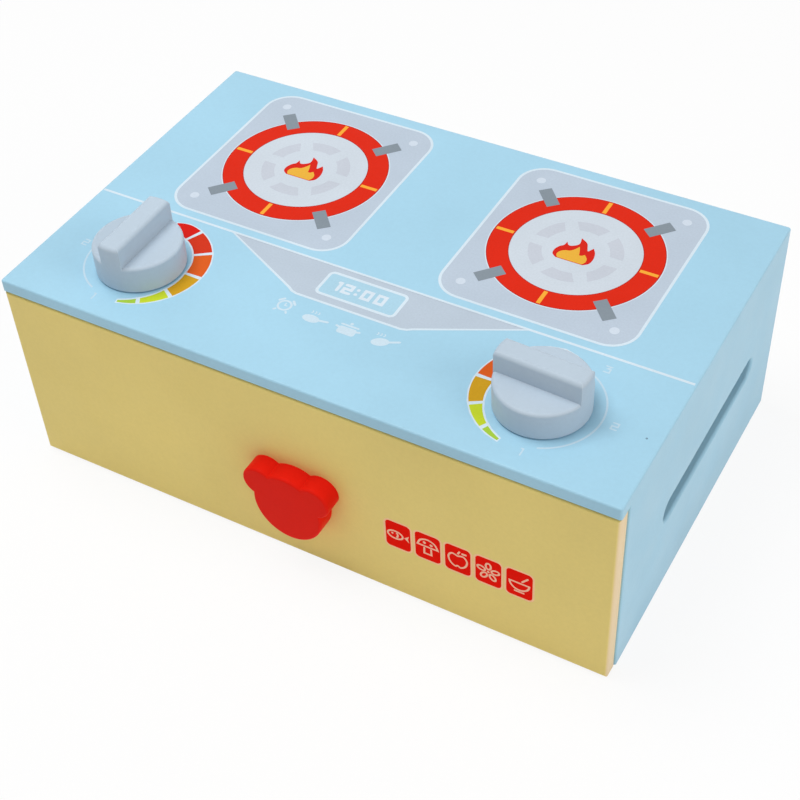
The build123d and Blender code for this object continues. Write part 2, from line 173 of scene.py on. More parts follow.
def satin_paint(name, tint, edge_tint, roughness, stipple, gloss_level, seam=None):
    """Rolled paint, rubbed towards `edge_tint` along its edges. `seam` is the height of a joint
    that is filled and painted across, so that no edge is rubbed there."""
    finish = new_finish(name)
    place = coordinate(finish, "Object")
    cloud = spread(finish, mottle(finish, place, 0.06, 3.0), 0.965, 1.03)
    fleck = spread(finish, mottle(finish, place, 0.0016, 2.0), 0.985, 1.012)
    shade = step(finish, "Math", {0: cloud, 1: fleck}, operation="MULTIPLY")
    body = step(finish, "VectorMath", {0: colour(*tint)[:3], "Scale": shade}, operation="SCALE")
    eased = step(finish, "Bevel", {"Radius": 0.0011}, samples=6)
    flat = step(finish, "NewGeometry", {}).node.outputs["Normal"]
    turned = step(finish, "VectorMath", {0: eased, 1: flat}, operation="DOT_PRODUCT")
    turned = turned.node.outputs["Value"]
    near_edge = spread(finish, turned, 1, 0, 0.82, 0.99)
    patch = spread(finish, mottle(finish, place, 0.012, 3.0), 0.15, 0.75)
    rubbed = step(finish, "Math", {0: near_edge, 1: patch}, operation="MULTIPLY")
    if seam:
        height = step(finish, "SeparateXYZ", {"Vector": place}).node.outputs["Z"]
        away = step(finish, "Math", {0: height, 1: seam}, operation="SUBTRACT")
        away = step(finish, "Math", {0: away}, operation="ABSOLUTE")
        away = step(finish, "Math", {0: away, 1: SEAM_COVER}, operation="GREATER_THAN")
        rubbed = step(finish, "Math", {0: rubbed, 1: away}, operation="MULTIPLY")
    shown = step(finish, "MixRGB", {"Fac": rubbed, "Color1": body, "Color2": colour(*edge_tint)})
    skin = mottle(finish, place, 0.0014, 2.0)
    wave = mottle(finish, place, 0.011, 1.0)
    skin = step(finish, "Math", {0: wave, 1: 2.0, 2: skin}, operation="MULTIPLY_ADD")
    bump = step(finish, "Bump", {"Height": skin, "Strength": stipple, "Distance": 0.00006})
    gloss = spread(finish, mottle(finish, place, 0.02, 4.0), roughness - 0.05, roughness + 0.06)
    gloss = step(finish, "Math", {0: rubbed, 1: 0.12, 2: gloss}, operation="MULTIPLY_ADD")
    return close_finish(finish, {"IOR": 1.48, "Specular IOR Level": gloss_level},
                        {"Base Color": shown, "Roughness": gloss, "Normal": bump})


board_foot, board_top = (corner.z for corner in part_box("top_board"))
blue_paint = satin_paint("sky_blue_satin_paint", (165, 210, 232), (186, 219, 236), 0.44, 0.5, 0.3,
                         seam=board_foot)
dress(["left_side_panel", "right_side_panel", "back_panel"], blue_paint)


# ---- Cross rail and guide rails: planed pine sticks, left bare inside the case. The cross
# rail stiffens the top board and stops the drawer; the drawer's sides run past the guides.

PINE = ((233, 208, 160), (196, 150, 92), 0.0032, 0.75)
GRAIN_ALONG_DEPTH = (0, 0, math.radians(-90))
pine_across = bare_wood("pine_along_width", *PINE, heart=(0, 0.03, -0.055))
pine_lengthways = bare_wood("pine_along_depth", *PINE, GRAIN_ALONG_DEPTH, (0, 0.035, 0.03))
dress(["cross_rail"], pine_across)
dress(["left_guide_rail", "right_guide_rail"], pine_lengthways)


# ---- Top board: 6 mm board over the whole case, in the same sky-blue paint, flush with the
# side panels. Its top edges are eased by sanding before it is painted.

dress(["top_board"], blue_paint)


# ---- Hob print: screen-printed films of ink on the top board. First comes the thin pale
# line from side to side, which parts the hob from the control panel in front of it.

FILM = 0.02
BITE = 0.01
MM = 0.001
MILLIMETRES = Matrix.Scale(MM, 4)
board_face = Matrix.Translation((0, 0, board_top)) @ MILLIMETRES
HOB_LINE_Y = -19.6
HOB_LINE_LENGTH = 298
HOB_LINE_WIDTH = 1.3


def ink(name, tint, roughness=0.5, gloss_level=0.12):
    """Screen ink: flat and even, with a faint mottle where the film lies thinner."""
    finish = new_finish(name)
    place = coordinate(finish, "Object")
    thin = spread(finish, mottle(finish, place, 0.0009, 3.0), 0.955, 1.02)
    wide = spread(finish, mottle(finish, place, 0.02, 2.0), 0.975, 1.02)
    shade = step(finish, "Math", {0: thin, 1: wide}, operation="MULTIPLY")
    body = step(finish, "VectorMath", {0: colour(*tint)[:3], "Scale": shade}, operation="SCALE")
    skin = mottle(finish, place, 0.0014, 2.0)
    bump = step(finish, "Bump", {"Height": skin, "Strength": 0.3, "Distance": 0.00005})
    gloss = spread(finish, mottle(finish, place, 0.004, 3.0), roughness - 0.05, roughness + 0.07)
    return close_finish(finish, {"IOR": 1.48, "Specular IOR Level": gloss_level},
                        {"Base Color": body, "Roughness": gloss, "Normal": bump})


def lay_ink(name, shapes, layer, finish, body="case", face=board_face):
    """Prints shapes as one closed film, which bites a little into what lies under it. A shape
    is a list of loops, its edge and then its holes, in millimetres on the face; a higher
    layer lies on top of the lower ones."""
    low = (layer - 1) * FILM - BITE
    high = layer * FILM
    film = bmesh.new()
    for loops in shapes:
        floor, roof = [], []
        for loop in loops:
            lower = [film.verts.new((x, y, low)) for x, y in loop]
            upper = [film.verts.new((x, y, high)) for x, y in loop]
            for i in range(len(loop)):
                film.faces.new((lower[i - 1], lower[i], upper[i], upper[i - 1]))
            floor += lower
            roof += upper
        for a, b, c in tessellate_polygon([[Vector((x, y, 0)) for x, y in loop] for loop in loops]):
            film.faces.new((roof[a], roof[b], roof[c]))
            film.faces.new((floor[c], floor[b], floor[a]))
    film.transform(face)
    bmesh.ops.recalc_face_normals(film, faces=film.faces)
    mesh = bpy.data.meshes.new(name)
    film.to_mesh(mesh)
    film.free()
    mesh.materials.append(finish)
    piece = bpy.data.objects.new(name, mesh)
    bpy.context.scene.collection.objects.link(piece)
    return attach(piece, body)


def bar(x, y, length, width, turn=0):
    """A straight bar centred on (x, y), with its length turned by `turn` degrees."""
    along = Vector((math.cos(math.radians(turn)), math.sin(math.radians(turn)))) * length / 2
    across = Vector((-along.y, along.x)).normalized() * width / 2
    middle = Vector((x, y))
    return [middle - along - across, middle + along - across,
            middle + along + across, middle - along + across]


pale_ink = ink("pale_blue_white_ink", (214, 230, 241))
hob_line = bar(0, HOB_LINE_Y, HOB_LINE_LENGTH, HOB_LINE_WIDTH)
lay_ink("hob_line_print", [[hob_line]], 1, pale_ink)


# ---- Burner prints: two alike, each a rounded grey pan plate with a pale rim, a red
# heating ring with four amber ticks, four steel-grey pan rests and a flame in the middle.

BURNER_X = 70.75
BURNER_Y = 36.6
PLATE_WIDTH = 91.8
PLATE_DEPTH = 100.8
PLATE_CORNER = 12.3
PLATE_RIM = 1.3
DOT_RADIUS = 2.2
DOT_X = 36.4
DOT_Y = 40.9
RING_OUTER = 40.0
RING_INNER = 29.9
RING_MIDDLE = (RING_OUTER + RING_INNER) / 2
HALO = 0.5
RING_EDGE = 0.3
SEGMENT_OUTER = 21.4
SEGMENT_INNER = 15.2
SEGMENT_OUTER_TURN = 22
SEGMENT_INNER_TURN = 18
TICK_LENGTH = 8.6
TICK_WIDTH = 1.9
REST_LENGTH = 13.0
REST_WIDTH = 6.3
REST_X = 27.4
REST_Y = 30.6
REST_TURN = 48


def arc(radius, start, end, x=0, y=0, count=24):
    """Points round part of a circle, from start to end degrees."""
    turns = [math.radians(start + (end - start) * i / count) for i in range(count + 1)]
    return [Vector((x + radius * math.cos(t), y + radius * math.sin(t))) for t in turns]


def circle(radius, x=0, y=0, count=96):
    return arc(radius, 0, 360, x, y, count)[:-1]


def rounded(width, height, radius, x=0, y=0):
    """A rectangle with rounded corners, centred on (x, y)."""
    right, top = width / 2 - radius, height / 2 - radius
    corners = [(right, top, 0), (-right, top, 90), (-right, -top, 180), (right, -top, 270)]
    return [p for cx, cy, turn in corners
            for p in arc(radius, turn, turn + 90, x + cx, y + cy, 10)]


def moved(loops, x, y):
    return [[Vector(p) + Vector((x, y)) for p in loop] for loop in loops]


def soft_loop(points, count=8):
    """A smooth closed line through the points; a point given twice stays a sharp tip."""
    smooth = []
    total = len(points)
    for i in range(total):
        p0, p1, p2, p3 = (Vector(points[(i + k) % total]) for k in (-1, 0, 1, 2))
        if p1 == p2:
            continue
        for k in range(count):
            t = k / count
            smooth.append(0.5 * (2 * p1 + (p2 - p0) * t + (2 * p0 - 5 * p1 + 4 * p2 - p3) * t ** 2
                                 + (3 * p1 - p0 - 3 * p2 + p3) * t ** 3))
    return smooth


plate_ink = ink("plate_grey_ink", (188, 202, 217))
disc_ink = ink("disc_white_ink", (206, 216, 226))
segment_ink = ink("segment_grey_ink", (198, 205, 216))
dot_ink = ink("dot_pale_ink", (208, 220, 233))
ring_ink = ink("ring_red_ink", (220, 42, 20), 0.45, 0.06)
tick_ink = ink("tick_amber_ink", (247, 172, 56))
rest_ink = ink("pan_rest_grey_ink", (134, 146, 156))
flame_red_ink = ink("flame_red_ink", (214, 38, 26), 0.45, 0.06)
flame_yellow_ink = ink("flame_yellow_ink", (234, 178, 60), 0.45)
ring_edge_ink = ink("ring_edge_dark_red_ink", (172, 40, 32), 0.45, 0.06)

flame = soft_loop([(-6.4, -7.6), (-6.4, -7.6), (-8.7, -5.8), (-9.2, -2.8), (-8.1, 0.2), (-6.6, 1.9),
                   (-6.2, 4.6), (-6.2, 4.6), (-4.6, 2.6), (-2.4, 3.3), (-0.6, 5.6), (-1.4, 9.6),
                   (-1.4, 9.6), (2.2, 7.4), (3.9, 4.0), (4.9, 2.4), (6.4, 5.2), (6.4, 5.2),
                   (8.2, 2.4), (9.2, -1.4), (8.8, -5.4), (6.5, -7.6), (6.5, -7.6)])
flame_heart = soft_loop([(-5.9, -7.3), (-5.9, -7.3), (-7.0, -5.2), (-6.3, -2.8), (-4.4, -1.2),
                         (-4.4, -1.2), (-2.4, -0.6), (-0.9, 1.2), (0.3, 3.7), (0.3, 3.7),
                         (1.5, 0.9), (2.4, -1.9), (2.4, -1.9), (3.5, -1.8), (4.7, -0.6),
                         (4.7, -0.6), (6.6, -3.0), (6.9, -5.4), (6.0, -7.3), (6.0, -7.3)])

corners = [(-1, -1), (-1, 1), (1, -1), (1, 1)]
for side, x in (("left", -BURNER_X), ("right", BURNER_X)):
    y = BURNER_Y
    plate = rounded(PLATE_WIDTH, PLATE_DEPTH, PLATE_CORNER, x, y)
    plate_edge = rounded(PLATE_WIDTH + 2 * PLATE_RIM, PLATE_DEPTH + 2 * PLATE_RIM,
                         PLATE_CORNER + PLATE_RIM, x, y)
    lay_ink(side + "_plate_rim_print", [[plate_edge]], 2, pale_ink)
    lay_ink(side + "_plate_print", [[plate]], 3, plate_ink)
    dots = [[circle(DOT_RADIUS, x + sx * DOT_X, y + sy * DOT_Y, 32)] for sx, sy in corners]
    lay_ink(side + "_plate_dot_print", dots, 4, dot_ink)
    halo = [circle(RING_OUTER + HALO, x, y), circle(RING_OUTER - 2 * HALO, x, y)]
    lay_ink(side + "_ring_rim_print", [halo], 4, pale_ink)
    lay_ink(side + "_disc_print", [[circle(RING_INNER + 2 * RING_EDGE, x, y)]], 4, disc_ink)
    ring = [circle(RING_OUTER, x, y), circle(RING_INNER, x, y)]
    lay_ink(side + "_ring_print", [ring], 5, ring_ink)
    edges = [[circle(radius + RING_EDGE, x, y), circle(radius, x, y)]
             for radius in (RING_OUTER - RING_EDGE, RING_INNER)]
    lay_ink(side + "_ring_edge_print", edges, 6, ring_edge_ink)
    segments = [[arc(SEGMENT_OUTER, turn - SEGMENT_OUTER_TURN, turn + SEGMENT_OUTER_TURN, x, y, 12)
                 + arc(SEGMENT_INNER, turn + SEGMENT_INNER_TURN, turn - SEGMENT_INNER_TURN,
                       x, y, 12)]
                for turn in range(30, 390, 60)]
    lay_ink(side + "_disc_segment_print", segments, 5, segment_ink)
    ticks = [[bar(*arc(RING_MIDDLE, turn, turn, x, y, 1)[0], TICK_LENGTH, TICK_WIDTH, turn)]
             for turn in (0, 90, 180, 270)]
    lay_ink(side + "_ring_tick_print", ticks, 6, tick_ink)
    rests = [[bar(x + sx * REST_X, y + sy * REST_Y, REST_LENGTH, REST_WIDTH, sx * sy * REST_TURN)]
             for sx, sy in corners]
    lay_ink(side + "_pan_rest_print", rests, 7, rest_ink)
    lay_ink(side + "_flame_print", [moved([flame], x, y)], 5, flame_red_ink)
    lay_ink(side + "_flame_heart_print", [moved([flame_heart], x, y)], 6, flame_yellow_ink)


# ---- Clock panel print: a grey trapezium in front of the pale line, with a pale rim, and in
# it a blue display window that reads 12:00 in block figures.

PANEL_RIM = 1.2
WINDOW_WIDTH = 38.8
WINDOW_DEPTH = 14.9
WINDOW_CORNER = 2.3
WINDOW_Y = -31.3
WINDOW_RIM = 1.4
CLOCK_Y = -33.8
CLOCK_HEIGHT = 5.0
CLOCK_PEN = 1.6
CLOCK_FIGURES = (("1", -12.7, 2.6), ("2", -8.8, 3.5), ("0", 0.9, 3.5), ("0", 7.7, 3.5))
COLON_X = -2.4
COLON_YS = (-32.8, -29.8)
COLON_RADIUS = 0.85


def stroke(points, width, count=6):
    """The edge of a pen line drawn through the points, with round ends."""
    line = [Vector(p) for p in points]
    left, right = [], []
    for i, p in enumerate(line):
        before = (p - line[i - 1]).normalized() if i else (line[1] - p).normalized()
        after = (line[i + 1] - p).normalized() if i < len(line) - 1 else before
        along = (before + after).normalized()
        across = Vector((-along.y, along.x)) * width / 2 / max(0.5, along.dot(before))
        left.append(p + across)
        right.append(p - across)
    start = line[1] - line[0]
    end = line[-1] - line[-2]
    foot = math.degrees(math.atan2(start.y, start.x))
    tip = math.degrees(math.atan2(end.y, end.x))
    cap_end = arc(width / 2, tip - 90, tip + 90, *line[-1], count)[1:-1]
    cap_start = arc(width / 2, foot + 90, foot + 270, *line[0], count)[1:-1]
    return right + cap_end + left[::-1] + cap_start


def rim(points, width):
    """The two loops of a closed pen line drawn through the points."""
    outer, inner = [], []
    total = len(points)
    for i in range(total):
        p = Vector(points[i])
        before = (p - Vector(points[i - 1])).normalized()
        after = (Vector(points[(i + 1) % total]) - p).normalized()
        along = (before + after).normalized()
        across = Vector((along.y, -along.x)) * width / 2 / max(0.35, along.dot(before))
        outer.append(p + across)
        inner.append(p - across)
    return [outer, inner]


FIGURES = {
    "0": [(0, 0), (1, 0), (1, 2), (0, 2)],
    "1": [(0.5, 0), (0.5, 2), (0.15, 2)],
    "2": [(1, 0), (0, 0), (0, 1), (1, 1), (1, 2), (0, 2)],
    "3": [(0, 2), (1, 2), (0.4, 1.2), (1, 1.2), (1, 0), (0, 0)],
}


def figure(sign, x, y, width, height, pen):
    """A block figure with its lower left corner at (x, y)."""
    points = [Vector((x + px * width, y + py * height / 2)) for px, py in FIGURES[sign]]
    if sign == "0":
        return rim(points, pen)
    return [stroke(points, pen, 4)]


console_ink = ink("panel_grey_ink", (187, 201, 215))
window_ink = ink("window_blue_ink", (172, 211, 230))
figure_ink = ink("figure_white_ink", (216, 230, 241))
panel_edge = [Vector(p) for p in ((-75, -19.8), (-30.8, -41.5), (-28.7, -42.9), (-26, -43.6),
                                  (26, -43.6), (28.7, -42.9), (30.8, -41.5), (75, -19.8))]
lay_ink("clock_panel_print", [[panel_edge]], 1, console_ink)
lay_ink("clock_panel_rim_print", [rim(panel_edge, PANEL_RIM)], 2, pale_ink)
window = rounded(WINDOW_WIDTH, WINDOW_DEPTH, WINDOW_CORNER, 0, WINDOW_Y)
lay_ink("clock_window_print", [[window]], 2, window_ink)
lay_ink("clock_window_rim_print", [rim(window, WINDOW_RIM)], 3, pale_ink)
clock_figures = [[circle(COLON_RADIUS, COLON_X, y, 16)] for y in COLON_YS]
for sign, x, width in CLOCK_FIGURES:
    clock_figures.append(figure(sign, x, CLOCK_Y, width, CLOCK_HEIGHT, CLOCK_PEN))
lay_ink("clock_figure_print", clock_figures, 3, figure_ink)


# ---- Cooking signs print: a kitchen timer, a frying pan, a stew pot and a saucepan in pale
# ink in front of the clock panel.

WISP_PEN = 0.5
WISP_GAP = 1.6
HANDLE_PEN = 1.2
EAR_PEN = 1.1
TIMER_X = -26.3
TIMER_Y = -52.6


def steam(x, y):
    """Three short wisps over a pan."""
    return [[stroke([(x + gap, y), (x + gap + 0.4, y + 0.7), (x + gap, y + 1.4)], WISP_PEN)]
            for gap in (-WISP_GAP, 0, WISP_GAP)]


def oval(x, y, width, height, turn=0, count=40):
    """An ellipse centred on (x, y), with its width turned by `turn` degrees."""
    lean = Matrix.Rotation(math.radians(turn), 2)
    return [Vector((x, y)) + lean @ Vector((width / 2 * p.x, height / 2 * p.y))
            for p in circle(1, count=count)]


sign_ink = ink("sign_pale_ink", (205, 226, 239))
hands = stroke([(0, 1.5), (0, 0), (1.1, 0)], 0.6)
timer = [rim(circle(3.0, count=40), 1.0), [hands]]
for way in (-1, 1):
    bell = stroke([(way * 3.9, 2.2), (way * 2.3, 3.9)], 1.2)
    foot = stroke([(way * 2.6, -3.4), (way * 3.1, -4.1)], 1.0)
    timer += [[bell], [foot]]
timer = [moved(loops, TIMER_X, TIMER_Y) for loops in timer]
pan = [[oval(-11.6, -54.9, 8.2, 4.6)]] + steam(-11.6, -51.4)
pan_handle = [stroke([(-8.4, -54.7), (-3.8, -53.9)], HANDLE_PEN)]
pot = [[rounded(8.6, 4.6, 1.3, 6.2, -55)], [stroke([(2.2, -51.6), (10.2, -51.6)], 1.0)],
       [circle(0.8, 6.2, -50.1, 20)]]
pot_ears = [[stroke([(0.6, -53.6), (2.8, -54.2)], EAR_PEN)],
            [stroke([(9.6, -54.2), (11.8, -53.6)], EAR_PEN)]]
saucepan = [[oval(22.4, -54.6, 8.0, 4.8, 22)]] + steam(20.6, -51.0)
saucepan_handle = [stroke([(25.2, -53.6), (30.0, -51.2)], HANDLE_PEN)]
lay_ink("cooking_signs_print", timer + pan + pot + saucepan, 1, sign_ink)
lay_ink("sign_handles_print", [pan_handle, saucepan_handle] + pot_ears, 2, sign_ink)


# ---- Dial prints: round each knob, a crescent of six colours from green to red on the inner
# side, a thin pale arc on the outer side, and small plain numbers. The two mirror each other,
# and both were printed a little behind and to the left of the lines the knobs turn about.

PRINT_SHIFT_X = -1
PRINT_SHIFT_Y = 3.5
DIAL_OUTER = 30.3
DIAL_MIDDLE = 26
DIAL_RIM = 0.75
RED_TIP = 76
RED_TIP_DRAW = 2.3
HEAT_ENDS = [95.5, 66.5, 33.8, 0, -32.4, -60.3, -80]
HEAT_INNER = [22, 22, 22, 22.3, 24.6, 27.2, 29.2]
HEAT_TINTS = [("red", (216, 28, 20)), ("scarlet", (210, 54, 28)), ("orange", (220, 94, 32)),
              ("amber", (208, 158, 34)), ("lime", (198, 214, 50)), ("green", (168, 204, 66))]
STRETCH_STEPS = 14
STRETCH_GAP = 0.8
RIM_GAP = 0.3
ARC_RADIUS = 26.2
ARC_Y = -2
ARC_START = 118
ARC_END = 248
ARC_PEN = 0.85
NUMBER_WIDTH = 2.4
NUMBER_HEIGHT = 3.6
NUMBER_PEN = 0.7
NUMBER_PLACES = (("1", 5.2, -31.0), ("2", 31.8, -2.0), ("3", 16.2, 26.8))


def crescent_inner(turn):
    """The crescent's inner radius, which grows towards the green end and thins it to a tip."""
    for i in range(len(HEAT_ENDS) - 1):
        if turn >= HEAT_ENDS[i + 1] or i == len(HEAT_ENDS) - 2:
            share = (turn - HEAT_ENDS[i]) / (HEAT_ENDS[i + 1] - HEAT_ENDS[i])
            return HEAT_INNER[i] + share * (HEAT_INNER[i + 1] - HEAT_INNER[i])


def crescent_outer(turn):
    """The crescent's outer radius, which draws in a little at the red tip to round it."""
    past_tip = max(0, (turn - RED_TIP) / (HEAT_ENDS[0] - RED_TIP))
    return DIAL_OUTER - RED_TIP_DRAW * past_tip ** 2


def crescent(start, end, gap, margin=0):
    """One stretch of the crescent, on the right of a knob: its ends are drawn in by `gap`, and
    `margin` widens it."""
    trim = math.degrees(gap / DIAL_MIDDLE)
    turns = [start - trim + (end - start + 2 * trim) * i / STRETCH_STEPS
             for i in range(STRETCH_STEPS + 1)]
    polar = [(crescent_outer(turn) + margin, turn) for turn in turns]
    polar += [(crescent_inner(turn) - margin, turn) for turn in turns[::-1]]
    return [arc(radius, turn, turn, count=1)[0] for radius, turn in polar]


def on_dial(loops, x, y, side):
    """Puts loops drawn for the left dial in its place, or mirrored in the right one's."""
    if side == "left":
        return moved(loops, x, y)
    mirrored = [[Vector((-p[0], p[1])) for p in reversed(loop)] for loop in loops]
    return moved(mirrored, x, y)


heat_inks = [ink("dial_" + name + "_ink", tint, 0.45, 0.06) for name, tint in HEAT_TINTS]
number_ink = ink("dial_pale_ink", (197, 222, 237))
knob_turns = {joint["child"].split("_")[0]: joint["pos_m"]
              for joint in frame["joints"] if joint["type"] == "hinge"}
dial_numbers = []
for side, outward in (("left", -1), ("right", 1)):
    x = knob_turns[side][0] / MM + PRINT_SHIFT_X
    y = knob_turns[side][1] / MM + PRINT_SHIFT_Y
    backing = crescent(HEAT_ENDS[0], HEAT_ENDS[-1], RIM_GAP, DIAL_RIM)
    lay_ink(side + "_dial_rim_print", [on_dial([backing], x, y, side)], 1, pale_ink)
    for i, finish in enumerate(heat_inks):
        stretch = crescent(HEAT_ENDS[i], HEAT_ENDS[i + 1], STRETCH_GAP)
        name = side + "_dial_" + HEAT_TINTS[i][0] + "_print"
        lay_ink(name, [on_dial([stretch], x, y, side)], 2, finish)
    outer_arc = stroke(arc(ARC_RADIUS, ARC_START, ARC_END, 0, ARC_Y, 48), ARC_PEN)
    lay_ink(side + "_dial_arc_print", [on_dial([outer_arc], x, y, side)], 1, number_ink)
    for sign, across, up in NUMBER_PLACES:
        left_foot = x + outward * across - NUMBER_WIDTH / 2, y + up - NUMBER_HEIGHT / 2
        dial_numbers.append(figure(sign, *left_foot, NUMBER_WIDTH, NUMBER_HEIGHT, NUMBER_PEN))
lay_ink("dial_number_print", dial_numbers, 1, number_ink)


# ---- Nail mark: a small disc of dark grey ink on the top board, over the right side panel,
# marks a nail hole there as a dark speck.

NAIL_MARK_X = 143.4
NAIL_MARK_Y = -56.4
NAIL_MARK_RADIUS = 0.5
dark_speck = ink("sunk_filler_grey", (122, 152, 172), 0.6)
nail_mark = circle(NAIL_MARK_RADIUS, NAIL_MARK_X, NAIL_MARK_Y, 20)
lay_ink("nail_mark", [[nail_mark]], 1, dark_speck)


# ---- Case pins: headless drawn-wire pins, driven in across every joint of the case and
# hidden under filler and paint.

def metal(name, tint, roughness, scratch, plated):
    """Bare or plated steel. `scratch` is the depth of its fine lines, and `plated` how far
    its tone clouds."""
    finish = new_finish(name)
    place = coordinate(finish, "Object")
    drawn = mottle(finish, place, 0.0004, 3.0, (8, 1, 1))
    spots = mottle(finish, place, 0.0022, 4.0)
    shade = spread(finish, spots, 1 - plated, 1 + plated * 0.5)
    body = step(finish, "VectorMath", {0: colour(*tint)[:3], "Scale": shade}, operation="SCALE")
    gloss = spread(finish, drawn, roughness - 0.08, roughness + 0.1)
    bump = step(finish, "Bump", {"Height": drawn, "Strength": scratch, "Distance": 0.00003})
    return close_finish(finish, {"Metallic": 1.0},
                        {"Base Color": body, "Roughness": gloss, "Normal": bump})


pin_steel = metal("drawn_pin_steel", (176, 176, 178), 0.4, 0.5, 0.08)
dress(["top_board_pins", "back_panel_pins", "base_panel_pins", "cross_rail_pins",
       "guide_rail_pins"], pin_steel)


# ---- Knobs: each turned and shaped from one block of wood, a disc with a tall bar grip, in
# pale blue-grey satin paint. A beech spindle, a washer and a screw hold each to the board.

knob_paint = satin_paint("pale_grey_satin_paint", (187, 203, 217), (204, 217, 228), 0.42, 0.4, 0.15)
BEECH = ((222, 184, 138), (188, 142, 96), 0.0016, 0.5)
GRAIN_UPRIGHT = (0, math.radians(90), 0)
spindle_beech = bare_wood("turned_beech", *BEECH, GRAIN_UPRIGHT, (0, 0.057, 0.08))
zinc = metal("zinc_plate", (205, 207, 210), 0.3, 0.35, 0.12)
dress(["left_knob", "right_knob"], knob_paint)
dress(["left_knob_spindle", "right_knob_spindle"], spindle_beech)
dress(["left_knob_washer", "right_knob_washer", "left_knob_screw", "right_knob_screw"],
      zinc)


# ---- Drawer front: 8 mm board in satin custard-yellow paint, its front edges eased.
# Its cut ends are painted paler and creamier, a painted highlight for the side light on them.

yellow_paint = satin_paint("custard_yellow_satin_paint", (236, 214, 130), (240, 222, 152),
                           0.46, 0.5, 0.15)
shader = yellow_paint.node_tree.nodes["Principled BSDF"]
painted = shader.inputs["Base Color"].links[0].from_socket
# Faces that point sideways, the cut ends, get a paler cream: painted light from the side lamp.
facing = step(yellow_paint, "SeparateXYZ", {"Vector": coordinate(yellow_paint, "Normal")})
facing = step(yellow_paint, "Math", {0: facing}, operation="ABSOLUTE")
painted_light_at_end = spread(yellow_paint, facing, 0, 1, 0.35, 0.85)
ends = step(yellow_paint, "MixRGB",
            {"Fac": painted_light_at_end, "Color1": painted, "Color2": colour(238, 214, 172)})
dress(["drawer_front"], close_finish(yellow_paint, {}, {"Base Color": ends}))


# ---- Picture tiles print: five small red squares in a row on the drawer front, each with a
# pale peach rim and a line drawing: a fish, a mushroom, an apple, a flower and a bowl.

front_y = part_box("drawer_front")[0].y
front_face = (Matrix.Translation((0, front_y, 0)) @ Matrix.Rotation(math.radians(90), 4, "X")
              @ MILLIMETRES)
TILE_WIDTH = 12.1
TILE_HEIGHT = 16.2
TILE_CORNER = 2.1
TILE_RIM = 0.95
TILE_RIM_CORNER = 3.1
TILE_Z = 40.3
FIRST_TILE_X = 50.6
TILE_PITCH = 14.4
DRAWING_SCALE = 1.26
PEN = 0.72
LEAF_PEN = 0.9
tile_rim_ink = ink("tile_rim_peach_ink", (255, 206, 160))
tile_ink = ink("tile_red_ink", (240, 18, 2), 0.5, 0.02)
drawing_ink = ink("drawing_peach_ink", (255, 196, 166))

fish = [rim(oval(-1.1, 0, 5.8, 3.8), PEN),
        [[(2.4, 0), (4.3, -1.7), (3.8, 0), (4.3, 1.7)]],
        [circle(0.45, -2.2, 0.5, 14)], [stroke(arc(1.6, -38, 38, -1.7, 0, 8), PEN)]]
mushroom = [rim(soft_loop([(-3.9, 0.3), (-3.9, 0.3), (-2.7, 2.8), (0, 3.9), (2.7, 2.8),
                           (3.9, 0.3), (3.9, 0.3)]), PEN),
            [stroke([(-1.3, -0.6), (-1.4, -3.4), (1.4, -3.4), (1.3, -0.6)], PEN)],
            [circle(0.6, -1.2, 2, 14)], [circle(0.6, 1.4, 1.7, 14)]]
apple = [rim(soft_loop([(0, 1.9), (0, 1.9), (2.2, 2.4), (3.5, 0.4), (2.8, -2.3), (1.1, -3.7),
                        (0, -3.2), (-1.1, -3.7), (-2.8, -2.3), (-3.5, 0.4), (-2.2, 2.4)]), PEN),
         [stroke([(0.1, 3.1), (0.7, 4.3)], PEN)], [stroke([(1.8, 3.75), (3.0, 3.9)], LEAF_PEN)]]
flower = [[circle(0.5, count=16)]]
for turn in range(18, 378, 72):
    petal = oval(*arc(2.75, turn, turn, count=1)[0], 3.0, 1.9, turn, 24)
    flower.append(rim(petal, PEN))
bowl = [rim(arc(3.6, 180, 360, 0, 0.6, 20), PEN), [stroke([(1, 1.7), (3, 4.1)], PEN)],
        [stroke([(-1.6, -3.9), (1.6, -3.9)], PEN)]]

rims, squares, drawings = [], [], []
for place, drawing in enumerate((fish, mushroom, apple, flower, bowl)):
    x = FIRST_TILE_X + place * TILE_PITCH
    squares.append([rounded(TILE_WIDTH, TILE_HEIGHT, TILE_CORNER, x, TILE_Z)])
    rims.append([rounded(TILE_WIDTH + 2 * TILE_RIM, TILE_HEIGHT + 2 * TILE_RIM,
                         TILE_RIM_CORNER, x, TILE_Z)])
    enlarged = [[[DRAWING_SCALE * Vector(p) for p in loop] for loop in loops] for loops in drawing]
    drawings += [moved(loops, x, TILE_Z) for loops in enlarged]
lay_ink("tile_rim_print", rims, 1, tile_rim_ink, "drawer", front_face)
lay_ink("tile_print", squares, 2, tile_ink, "drawer", front_face)
lay_ink("tile_drawing_print", drawings, 3, drawing_ink, "drawer", front_face)


# ---- Drawer box: bare pine sides and back, and a thin bare plywood bottom pinned under them.
# Beech dowels hold the sides to the front, and wire pins hold the back and the bottom.

dowel_beech = bare_wood("beech_dowel", *BEECH, GRAIN_ALONG_DEPTH, (0, 0.04, 0.05))
dress(["drawer_left_side", "drawer_right_side"], pine_lengthways)
dress(["drawer_back"], pine_across)
bottom_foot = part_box("drawer_bottom")[0].z
dress(["drawer_bottom"], plywood("bare_plywood_3mm", bottom_foot, PLY))
dress(["drawer_dowels"], dowel_beech)
dress(["drawer_back_pins", "drawer_bottom_pins"], pin_steel)


# ---- Pull: a bear's head cut from 9.5 mm solid wood with rounded front edges, in smooth
# glossy red paint. Two screws with washers hold it from inside the drawer front.

red_paint = satin_paint("bright_red_gloss_paint", (232, 31, 18), (238, 50, 32), 0.4, 0.3, 0.03)
dress(["bear_pull"], red_paint)
dress(["pull_washers", "pull_screws"], zinc)


